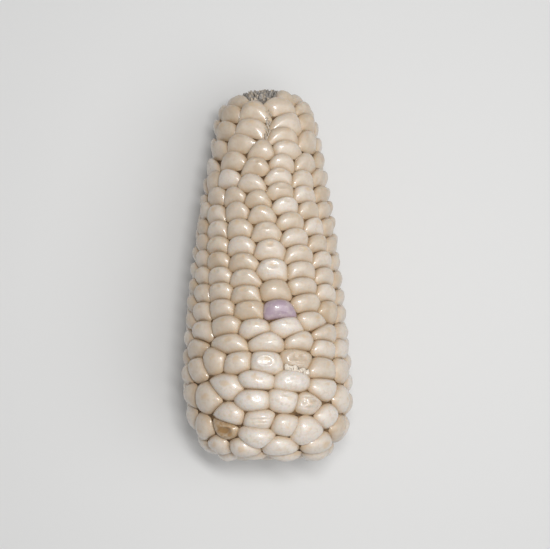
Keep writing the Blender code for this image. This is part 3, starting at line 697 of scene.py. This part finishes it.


# The starch shows through the skin, white to tan, tanner and darker towards the tip partly as
# painted shade, with fine and broad clouds, flecks of straw over the silk scar, and brown where the
# grain is stained.
# Down its sides into the grooves it darkens to tan and brown: partly the grain's own tan foot,
# partly painted shade between the grains, which also darkens the steep edges of each grain.
white, tree, shader = finish_made("white_grain_skin", 0.36, 0.5)
shader.inputs["Coat Roughness"].default_value = 0.11
shader.inputs["Subsurface Weight"].default_value = 0.2
shader.inputs["Subsurface Radius"].default_value = (1.0, 0.55, 0.3)
shader.inputs["Subsurface Scale"].default_value = 0.0015
place = node(tree, "ShaderNodeTexCoord").outputs["Object"]
skin = node(tree, "ShaderNodeAttribute", {"attribute_name": "skin"}).outputs["Color"]
parts = node(tree, "ShaderNodeSeparateColor", Color=skin)
groove_shade, tint, stain = parts.outputs[0], parts.outputs[1], parts.outputs[2]
base_colour = mixed(tree, tint, (0.73, 0.672, 0.617, 1), (0.53, 0.42, 0.305, 1))
fine = noise(tree, place, 1500.0, 4.0)
broad = noise(tree, place, 260.0, 2.0)
patches = noise(tree, place, 620.0, 3.0, 0.6)
base_colour = mixed(tree, spread_of(tree, fine, 0.35, 0.65, 0.0, 0.22), base_colour, (0.52, 0.44, 0.35, 1))
base_colour = mixed(tree, spread_of(tree, broad, 0.40, 0.65, 0.0, 0.35), base_colour, (0.74, 0.66, 0.56, 1))
patched = spread_of(tree, patches, 0.50, 0.68, 0.0, 0.32)
base_colour = mixed(tree, patched, base_colour, (0.50, 0.385, 0.26, 1))
own = node(tree, "ShaderNodeAttribute", {"attribute_name": "own_place"}).outputs["Vector"]
away = node(tree, "ShaderNodeVectorMath", {"operation": "DISTANCE"}, i0=own, i1=(0.05, 0.18, 0.0))
from_scar = away.outputs["Value"]
scarred = spread_of(tree, noise(tree, place, 340.0, 1.0), 0.48, 0.60)
scar = times(tree, spread_of(tree, from_scar, 0.10, 0.42, 0.55, 0.0), scarred)
base_colour = mixed(tree, scar, base_colour, (0.60, 0.43, 0.25, 1))
# Painted shade, partly the grain's own tan foot: darker tan, then brown, down the sides into the
# grooves.
base_colour = mixed(tree, spread_of(tree, groove_shade, 0.22, 0.80, 0.0, 0.62), base_colour, (0.57, 0.42, 0.265, 1))
base_colour = mixed(tree, spread_of(tree, groove_shade, 0.80, 1.15, 0.0, 0.80), base_colour, (0.36, 0.225, 0.115, 1))
# Painted shade on the steep edges of each grain.
base_colour = mixed(tree, spread_of(tree, groove_shade, 0.15, 0.95, 0.0, 0.55), base_colour, (0.46, 0.325, 0.195, 1))
browned = times(tree, spread_of(tree, noise(tree, place, 420.0, 4.0), 0.36, 0.58), stain)
browned = times(tree, browned, spread_of(tree, from_scar, 0.60, 1.10, 1.0, 0.2))
base_colour = mixed(tree, times(tree, stain, 0.55), base_colour, (0.44, 0.32, 0.19, 1))
base_colour = mixed(tree, browned, base_colour, (0.36, 0.21, 0.085, 1))
tree.links.new(base_colour, shader.inputs["Base Color"])
tree.links.new(spread_of(tree, fine, 0.3, 0.7, 0.30, 0.44), shader.inputs["Roughness"])
pores = noise(tree, place, 900.0, 3.0)
relief = node(tree, "ShaderNodeBump", Height=pores, Distance=0.00008, Strength=0.6)
tree.links.new(relief.outputs["Normal"], shader.inputs["Normal"])

for name, grains in groups.items():
    piece = joined(name, grains)
    piece.data.materials.clear()
    piece.data.materials.append(white)
    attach(piece, "root")
    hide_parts("white_grains")

# ---------------------------------------------------------------------------- the purple grain
# One grain took the pollen of a purple ear. It grows from the cob in its row like the others, full
# and without dents, and only its skin is coloured: a cloudy mauve, with painted shade darkening it
# towards its foot down in the groove.

looks[purple].update(arch=0.34, sink=0.0, round=2.4, corners=6.5, dents=[], slits=[(205, 0.07)])
violet = joined("mauve_grain", [grain_copied(fine_raw, purple, looks[purple])])
mauve, tree, shader = finish_made("mauve_grain_skin", 0.36, 1.0)
shader.inputs["Coat Roughness"].default_value = 0.06
place = node(tree, "ShaderNodeTexCoord").outputs["Object"]
skin = node(tree, "ShaderNodeAttribute", {"attribute_name": "skin"}).outputs["Color"]
groove_shade = node(tree, "ShaderNodeSeparateColor", Color=skin).outputs[0]
fine = noise(tree, place, 1500.0, 4.0)
clouds = noise(tree, place, 520.0, 2.0)
deep, pale = (0.40, 0.30, 0.36, 1), (0.49, 0.40, 0.42, 1)
colour = mixed(tree, spread_of(tree, clouds, 0.38, 0.62), deep, pale)
colour = mixed(tree, spread_of(tree, fine, 0.35, 0.65, 0.0, 0.25), colour, (0.38, 0.29, 0.34, 1))
# Painted shade: the mauve darkens towards the grain's foot, down in the groove.
colour = mixed(tree, spread_of(tree, groove_shade, 0.5, 1.0, 0.0, 0.9), colour, (0.25, 0.16, 0.15, 1))
tree.links.new(colour, shader.inputs["Base Color"])
violet.data.materials.clear()
violet.data.materials.append(mauve)
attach(violet, "root")
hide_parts("purple_grain")

# -------------------------------------------------------------------------- the bare tip of the cob
# Past the last grains the cob ends bare. It is covered by dry glumes, the papery scales that would
# have held grains, in grey and straw, with a fuzz of short grey hairs between them. Some of them
# also stand in the narrow gap where a row begins, and show pale there.

TIP_BODY = 0.0044
TIP_TOP = EAR_LENGTH - 0.0028
TIP_DOME = 0.0016
GLUME_LENGTH = 0.0030
GLUME_WIDTH = 0.0017
GLUME_THICKNESS = 0.00010
HAIR_LENGTH = 0.0012
HAIR_WIDTH = 0.00012
# How deep the scales and hairs are rooted, and how the chaff lies on the shoulder round the end.
ROOTING = 0.0002
END_ROOTING = 0.0008
SHOULDER_DROP = 0.0014
SHOULDER_FALL = 0.006
HOLE_ROOM = 0.0003
CHAFF_SEED = 19
END_SCALES = 60
SHOULDER_SCALES = 320
HAIRS = 900
GOLDEN_ANGLE = math.pi * (3 - math.sqrt(5))


def raw_glume():
    """One papery scale, cupped and drawn to a point: its foot at the origin, its point along +Z."""
    bpy.ops.object.select_all(action="DESELECT")
    bpy.ops.mesh.primitive_grid_add(x_subdivisions=4, y_subdivisions=5, size=1)
    glume = bpy.context.object
    glume.name = glume.data.name = "raw_glume"
    points = coordinates(glume.data)
    across, up = 2 * points[:, 0], points[:, 1] + 0.5
    half = 0.5 * GLUME_WIDTH * (0.55 + 0.9 * up - 1.25 * up**2)
    cup = 0.00045 * (across**2 - 0.4) - 0.0005 * up**2
    move_to(glume.data, np.column_stack([across * half, cup, up * GLUME_LENGTH]))
    wall = glume.modifiers.new("wall", "SOLIDIFY")
    wall.thickness = GLUME_THICKNESS
    bpy.ops.object.modifier_apply(modifier="wall")
    return glume


def raw_hair():
    """One stiff hair with its foot at the origin, along +Z."""
    bpy.ops.object.select_all(action="DESELECT")
    bpy.ops.mesh.primitive_cone_add(
        vertices=4, radius1=HAIR_WIDTH, radius2=HAIR_WIDTH / 5, depth=HAIR_LENGTH
    )
    hair = bpy.context.object
    hair.name = hair.data.name = "raw_hair"
    bpy.ops.object.mode_set(mode="EDIT")
    bpy.ops.mesh.select_all(action="SELECT")
    bpy.ops.transform.translate(value=(0, 0, HAIR_LENGTH / 2))
    bpy.ops.object.mode_set(mode="OBJECT")
    return hair


def toned(piece, values):
    """Gives each point of a piece its tone, which its material reads."""
    piece.data.attributes.new("tone", "FLOAT", "POINT").data.foreach_set("value", values)


def stood_on_ear(raw, axial, radius, angle, lean, twist, scale, shade):
    """A copy that stands on the ear, its point leaning out from the ear's axis."""
    made = raw.copy()
    made.data = raw.data.copy()
    bpy.context.scene.collection.objects.link(made)
    leaning = Matrix.Rotation(-math.pi / 2 + lean, 3, "X")
    turn = Matrix.Rotation(angle, 3, "Y") @ leaning @ Matrix.Rotation(twist, 3, "Z")
    points = coordinates(made.data) * scale @ np.array(turn).T
    points += np.array([radius * math.sin(angle), axial, radius * math.cos(angle)])
    laid = lay_down(points)
    laid[:, 2] = np.maximum(laid[:, 2], 0.0)
    move_to(made.data, laid)
    toned(made, np.full(len(laid), shade))
    return made


def end_height(out):
    """The height of the domed end of the cob, this share of its radius out from the middle."""
    return TIP_TOP - TIP_DOME * (1 - math.sqrt(1 - out**2))


draw = random.Random(CHAFF_SEED)
glume, hair = raw_glume(), raw_hair()
scales = []
for k in range(END_SCALES):
    out = math.sqrt((k + 0.5) / END_SCALES)
    lean = 0.7 * out + draw.uniform(-0.5, 0.5)
    size = np.array([draw.uniform(0.5, 1.0), 1.0, draw.uniform(0.3, 0.7)])
    spot = (end_height(out) - END_ROOTING, (TIP_BODY - ROOTING) * out, k * GOLDEN_ANGLE)
    twist, shade = draw.uniform(-1.2, 1.2), draw.random() ** 2 + 0.5 * out**3
    scales.append(stood_on_ear(glume, *spot, lean, twist, size, shade))
shoulder = []
hole_rim = float(narrowed_to(TIP_HOLE))
for k in range(SHOULDER_SCALES):
    angle = k * GOLDEN_ANGLE if k % 2 else TIP_NOTCH + draw.gauss(0, 0.45)
    rim = float(np.interp(tip_rim(angle), MAP_Y, ALONG)) - SHOULDER_DROP
    place = rim + (hole_rim - rim) * draw.random() ** 0.9
    axial = np.interp(place, ALONG, AXIAL) - COB_DEPTH * np.interp(place, ALONG, OUTWARD[0])
    radius = np.interp(place, ALONG, RADIUS) - COB_DEPTH * np.interp(place, ALONG, OUTWARD[1])
    size = np.array([draw.uniform(0.9, 1.5), 1.0, draw.uniform(0.4, 0.75)])
    spot = (float(axial) - ROOTING, float(radius), angle)
    lean, twist = draw.uniform(-1.2, 0.8), draw.uniform(-0.8, 0.8)
    shoulder.append(stood_on_ear(glume, *spot, lean, twist, size, draw.uniform(0.4, 1.0)))
hairs = []
for k in range(HAIRS):
    out = math.sqrt(draw.random()) * 1.2
    angle = draw.uniform(-math.pi, math.pi)
    height = end_height(min(out, 1)) - SHOULDER_FALL * max(0.0, out - 1)
    size = np.array([0.7, 0.7, draw.uniform(0.5, 1.4)])
    spot = (height - ROOTING, TIP_BODY * out, angle)
    shade = draw.uniform(0.0, 0.45) + 0.35 * min(out, 1) ** 3
    lean, twist = 0.4 * out + draw.uniform(-1.0, 1.0), draw.uniform(-3, 3)
    hairs.append(stood_on_ear(hair, *spot, lean, twist, size, shade))

tip_foot = EAR_LENGTH - TIP_HOLE_DEPTH + HOLE_ROOM
tip_profile = [(TIP_TOP, 0.0)]
for turn in np.linspace(0, math.pi / 2, 9)[1:]:
    tip_profile.append((TIP_TOP - TIP_DOME * (1 - math.cos(turn)), TIP_BODY * math.sin(turn)))
tip_profile += [(tip_foot, TIP_BODY), (tip_foot, 0.0)]
tip_body = turned_piece("tip_body", tip_profile, 40)
move_to(tip_body.data, lay_down(coordinates(tip_body.data)))
toned(tip_body, np.zeros(len(tip_body.data.vertices)))
tip = joined("cob_tip_chaff", [tip_body] + scales + shoulder + hairs)

# The gap above the start of the guide row holds a line of pale glumes.
GAP_GLUMES = 34
GAP_START = 0.1045
GAP_LENGTH = 0.0150
GAP_DEPTH = 0.0030


def crown_line(station):
    """The height and radius of the crowns at a distance from the butt."""
    return [float(np.interp(station, STATION, line)) for line in (AXIAL, RADIUS)]


gap_chaff = []
for k in range(GAP_GLUMES):
    share = k / (GAP_GLUMES - 1)
    angle = math.radians(1.0 + 3.5 * share + draw.uniform(-3.0, 3.0))
    axial, radius = crown_line(GAP_START + GAP_LENGTH * share)
    spot = (axial, radius - GAP_DEPTH, angle)
    size = np.array([draw.uniform(0.5, 0.9), 1.0, draw.uniform(0.35, 0.6)])
    shade = draw.uniform(0.7, 1.0)
    lean, twist = draw.uniform(0.1, 0.8), draw.uniform(-1.2, 1.2)
    gap_chaff.append(stood_on_ear(glume, *spot, lean, twist, size, shade))
gap_piece = joined("gap_chaff", gap_chaff)

chaff, tree, shader = finish_made("dry_chaff", 0.85)
place = node(tree, "ShaderNodeTexCoord").outputs["Object"]
tone = node(tree, "ShaderNodeAttribute", {"attribute_name": "tone"}).outputs["Fac"]
streaks = noise(tree, place, 1600.0, 3.0)
grey, greyer = (0.34, 0.32, 0.30, 1), (0.09, 0.087, 0.085, 1)
colour = mixed(tree, spread_of(tree, tone, 0.0, 0.6), greyer, grey)
colour = mixed(tree, spread_of(tree, tone, 0.6, 0.95), colour, (0.62, 0.53, 0.42, 1))
colour = mixed(tree, spread_of(tree, streaks, 0.35, 0.7, 0.0, 0.5), colour, (0.16, 0.14, 0.12, 1))
tree.links.new(colour, shader.inputs["Base Color"])
relief = node(tree, "ShaderNodeBump", Height=streaks, Distance=0.0002, Strength=0.5)
tree.links.new(relief.outputs["Normal"], shader.inputs["Normal"])
for piece in (tip, gap_piece):
    piece.data.materials.clear()
    piece.data.materials.append(chaff)
    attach(piece, "root")
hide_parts("cob_tip")

# ------------------------------------------------------------------------------ the torn skin
# One collapsed grain of the butt has split its dry skin along the lower edge. The skin is as thin
# as paper, still grows from the grain, and curls up there in a row of ragged pale flakes.

# The flakes stand from TORN_FROM degrees, this many degrees round the ear.
TORN_FLAKES = 9
TORN_STATION = 0.0287
TORN_DROP = 0.0012
TORN_FROM = 13
TORN_ROUND = 15
TORN_DEPTH = 0.0016
torn = []
for k in range(TORN_FLAKES):
    share = k / (TORN_FLAKES - 1)
    axial, radius = crown_line(TORN_STATION - TORN_DROP * share + draw.uniform(-0.0002, 0.0002))
    spot = (axial, radius - TORN_DEPTH, math.radians(TORN_FROM + TORN_ROUND * share))
    size = np.array([draw.uniform(1.1, 2.6), 0.5, draw.uniform(0.28, 0.70)])
    lean, twist = draw.uniform(-0.1, 0.3), draw.uniform(-0.7, 0.7)
    torn.append(stood_on_ear(glume, *spot, lean, twist, size, 1.0))
torn_skin = joined("torn_skin", torn)

flaked, tree, shader = finish_made("torn_skin", 0.6, 0.1)
place = node(tree, "ShaderNodeTexCoord").outputs["Object"]
flecks = noise(tree, place, 1800.0)
pale = mixed(tree, spread_of(tree, flecks, 0.35, 0.7), (0.76, 0.70, 0.62, 1), (0.62, 0.52, 0.40, 1))
tree.links.new(pale, shader.inputs["Base Color"])
torn_skin.data.materials.clear()
torn_skin.data.materials.append(flaked)
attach(torn_skin, "root")

# ---------------------------------------------------------------------------- the snapped shank
# The stalk that the ear grew on was snapped off in the hollow of the butt. A ring of stiff straw
# fibres, torn ragged, stands round a dished face of pale pith.

SHANK_RADIUS = 0.0080
SHANK_FACE = 0.0068
SHANK_HOLLOW = 0.0014
SHANK_SIDES = 104
SHANK_RIDGES = 0.0008
SHANK_FLUTES = 26
FLUTE_DEPTH = 0.022
EDGE_RAGGED = 0.00035
PITH_ROUGH = 0.00012
SHANK_SEED = 23
SPLINTERS = 46
# The dished face: the share of the radius, and how deep the face lies there behind its rim.
SHANK_DISH = (
    (0.2, 0.0014), (0.4, 0.0012), (0.55, 0.0009), (0.68, 0.0006), (0.78, 0.0002), (0.86, 0.0),
    (0.93, 0.0002), (0.98, 0.0007),
)

shank_profile = [(SHANK_FACE + SHANK_HOLLOW, 0.0)]
for share, drop in SHANK_DISH:
    shank_profile.append((SHANK_FACE + drop, SHANK_RADIUS * share))
for k in range(7):
    ridge = 1.0 if k % 3 else 0.97
    shank_profile.append((SHANK_FACE + SHANK_HOLLOW + k * SHANK_RIDGES, SHANK_RADIUS * ridge))
shank_end = SHANK_HOLE_DEPTH - HOLE_ROOM
shank_profile += [(shank_end, SHANK_RADIUS * 0.96), (shank_end, 0.0)]
stalk = turned_piece("snapped_shank", shank_profile, SHANK_SIDES)
points = coordinates(stalk.data)
radius, angle = np.hypot(points[:, 0], points[:, 2]), np.arctan2(points[:, 0], points[:, 2])
edge = np.clip(radius / SHANK_RADIUS, 0, 1)
face = np.clip(1 - (points[:, 1] - SHANK_FACE) / 0.0016, 0, 1)
ragged = np.sin(11 * angle + 1.0) * np.sin(7 * angle + 2.0)
ragged = ragged + 0.6 * np.sin(23 * angle) * np.sin(17 * angle + 0.5)
points[:, 1] += face * edge**4 * EDGE_RAGGED * ragged
pith = np.sin(2300 * points[:, 0] + 1.0) * np.sin(2100 * points[:, 2])
pith = pith + np.sin(3900 * points[:, 0]) * np.sin(4300 * points[:, 2] + 2)
points[:, 1] += face * (1 - edge**4) * PITH_ROUGH * pith
groove = 1 + FLUTE_DEPTH * np.cos(SHANK_FLUTES * angle) * np.clip((edge - 0.6) / 0.4, 0, 1)
points[:, 0] *= groove
points[:, 2] *= groove
move_to(stalk.data, lay_down(points))
toned(stalk, edge)
draw = random.Random(SHANK_SEED)
splinters = []
for k in range(SPLINTERS):
    angle = 2 * math.pi * (k + draw.uniform(-0.4, 0.4)) / SPLINTERS
    radius = SHANK_RADIUS * draw.uniform(0.74, 0.95)
    size = np.array([2.2, 2.2, -draw.uniform(0.5, 1.3)])
    spot = (SHANK_FACE + 0.0006, radius, angle)
    splinters.append(stood_on_ear(hair, *spot, draw.uniform(-0.25, 0.1), 0.0, size, 1.0))
stalk = joined("snapped_shank", [stalk] + splinters)
bpy.ops.object.mode_set(mode="EDIT")
bpy.ops.mesh.select_all(action="SELECT")
bpy.ops.mesh.normals_make_consistent(inside=False)
bpy.ops.object.mode_set(mode="OBJECT")

# Round the shank the husk leaves were torn off, and left three ragged rings of stiff papery stubs:
# (radius inside, how far it stands up, how many waves its edge has).
STUB_RINGS = ((0.0089, 0.0017, 7), (0.0103, 0.0014, 9), (0.0118, 0.0011, 11))
STUB_BASE = 0.0068
STUB_WALL = 0.00035
STUB_RAGGED = 0.00045
STUB_SIDES = 110
stub_rings = []
for inner, tall, waves in STUB_RINGS:
    crest = STUB_BASE - tall
    profile = [(STUB_BASE, inner), (crest, inner + STUB_WALL), (crest, inner + 2 * STUB_WALL)]
    profile += [(STUB_BASE, inner + 3 * STUB_WALL), (STUB_BASE, inner)]
    ring = turned_piece("stub_ring", profile, STUB_SIDES)
    points = coordinates(ring.data)
    angle = np.arctan2(points[:, 0], points[:, 2])
    ragged = np.sin(waves * angle + 1.3) * np.sin(1.7 * waves * angle)
    ragged = ragged + 0.7 * np.sin(4.3 * waves * angle + inner * 3000)
    up = (STUB_BASE - points[:, 1]) / tall
    points[:, 1] += up * STUB_RAGGED * ragged
    outward = 1 + up * 0.03 * np.sin(2.6 * waves * angle + 2.0)
    points[:, 0] *= outward
    points[:, 2] *= outward
    move_to(ring.data, lay_down(points))
    toned(ring, np.ones(len(points)))
    stub_rings.append(ring)
stubs = joined("husk_stubs", stub_rings)

straw, tree, shader = finish_made("stalk_fibre", 0.75)
place = node(tree, "ShaderNodeTexCoord").outputs["Object"]
drawn_out = node(tree, "ShaderNodeMapping", Vector=place, Scale=(1.0, 0.12, 1.0))
fibres = noise(tree, drawn_out.outputs["Vector"], 2600.0, 3.0)
cells = node(tree, "ShaderNodeTexVoronoi", Vector=place, Scale=1500.0).outputs["Distance"]
tone = node(tree, "ShaderNodeAttribute", {"attribute_name": "tone"}).outputs["Fac"]
straw_light, straw_dark = (0.50, 0.39, 0.22, 1), (0.27, 0.18, 0.085, 1)
pith_dark, pith_light = (0.47, 0.39, 0.28, 1), (0.70, 0.64, 0.53, 1)
bark = mixed(tree, spread_of(tree, fibres, 0.35, 0.65), straw_light, straw_dark)
foam = mixed(tree, spread_of(tree, cells, 0.1, 0.6), pith_dark, pith_light)
colour = mixed(tree, spread_of(tree, tone, 0.62, 0.80), foam, bark)
tree.links.new(colour, shader.inputs["Base Color"])
relief = node(tree, "ShaderNodeBump", Height=fibres, Distance=0.0003, Strength=0.7)
tree.links.new(relief.outputs["Normal"], shader.inputs["Normal"])
for piece in (stalk, stubs):
    piece.data.materials.clear()
    piece.data.materials.append(straw)
    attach(piece, "root")
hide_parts("shank")

for spare in (raw, fine_raw, glume, hair):
    bpy.data.objects.remove(spare)

# ------------------------------------------------------------------------ floor, light and camera
# The ear lies on a plain pale floor, seen from nearly straight above. A small lamp near the camera
# gives each grain its highlight, and a large soft one and the pale surroundings fill the shadows.

bpy.ops.object.select_all(action="DESELECT")
bpy.ops.mesh.primitive_plane_add(size=6)
floor = bpy.context.object
floor.name = floor.data.name = "floor"
paper, tree, shader = finish_made("floor", 0.9)
shader.inputs["Base Color"].default_value = (0.72, 0.72, 0.715, 1)
floor.data.materials.append(paper)


def lamp(name, place, target, size, power, turn=0.0):
    """A rectangular lamp at a place, aimed at a target and turned about that line."""
    light = bpy.data.lights.new(name, "AREA")
    light.shape = "RECTANGLE"
    light.size, light.size_y = size
    light.energy = power
    made = bpy.data.objects.new(name, light)
    made.location = place
    aim = (Vector(target) - Vector(place)).to_track_quat("-Z", "Y").to_matrix()
    made.rotation_euler = (aim @ Matrix.Rotation(turn, 3, "Z")).to_euler()
    bpy.context.scene.collection.objects.link(made)


lamp("key", (0.04, 0.03, 0.49), (0, 0, 0.03), (0.13, 0.05), 1.1, math.radians(18))
lamp("fill", (0.55, -0.20, 1.10), (0, 0, 0), (1.2, 1.2), 7.2)
world = bpy.data.worlds.new("studio")
world.use_nodes = True
surroundings = world.node_tree.nodes["Background"]
surroundings.inputs["Color"].default_value = (1, 1, 1, 1)
surroundings.inputs["Strength"].default_value = 0.26
bpy.context.scene.world = world

CAMERA_TARGET = Vector((0, 0, 0.0275))
CAMERA_DISTANCE = 0.42
CAMERA_ELEVATION = math.radians(87)
CAMERA_LENS = 81.5
CAMERA_SHIFT = (0.0163, -0.0027)
eye = bpy.data.cameras.new("camera")
eye.sensor_width = 36
eye.lens = CAMERA_LENS
eye.shift_x, eye.shift_y = CAMERA_SHIFT
eye.clip_start = 0.01
camera = bpy.data.objects.new("camera", eye)
bpy.context.scene.collection.objects.link(camera)
toward = Vector((0, -math.cos(CAMERA_ELEVATION), math.sin(CAMERA_ELEVATION)))
camera.location = CAMERA_TARGET + CAMERA_DISTANCE * toward
camera.rotation_euler = (math.pi / 2 - CAMERA_ELEVATION, 0, 0)
bpy.context.scene.camera = camera
bpy.context.scene.view_settings.view_transform = "Standard"
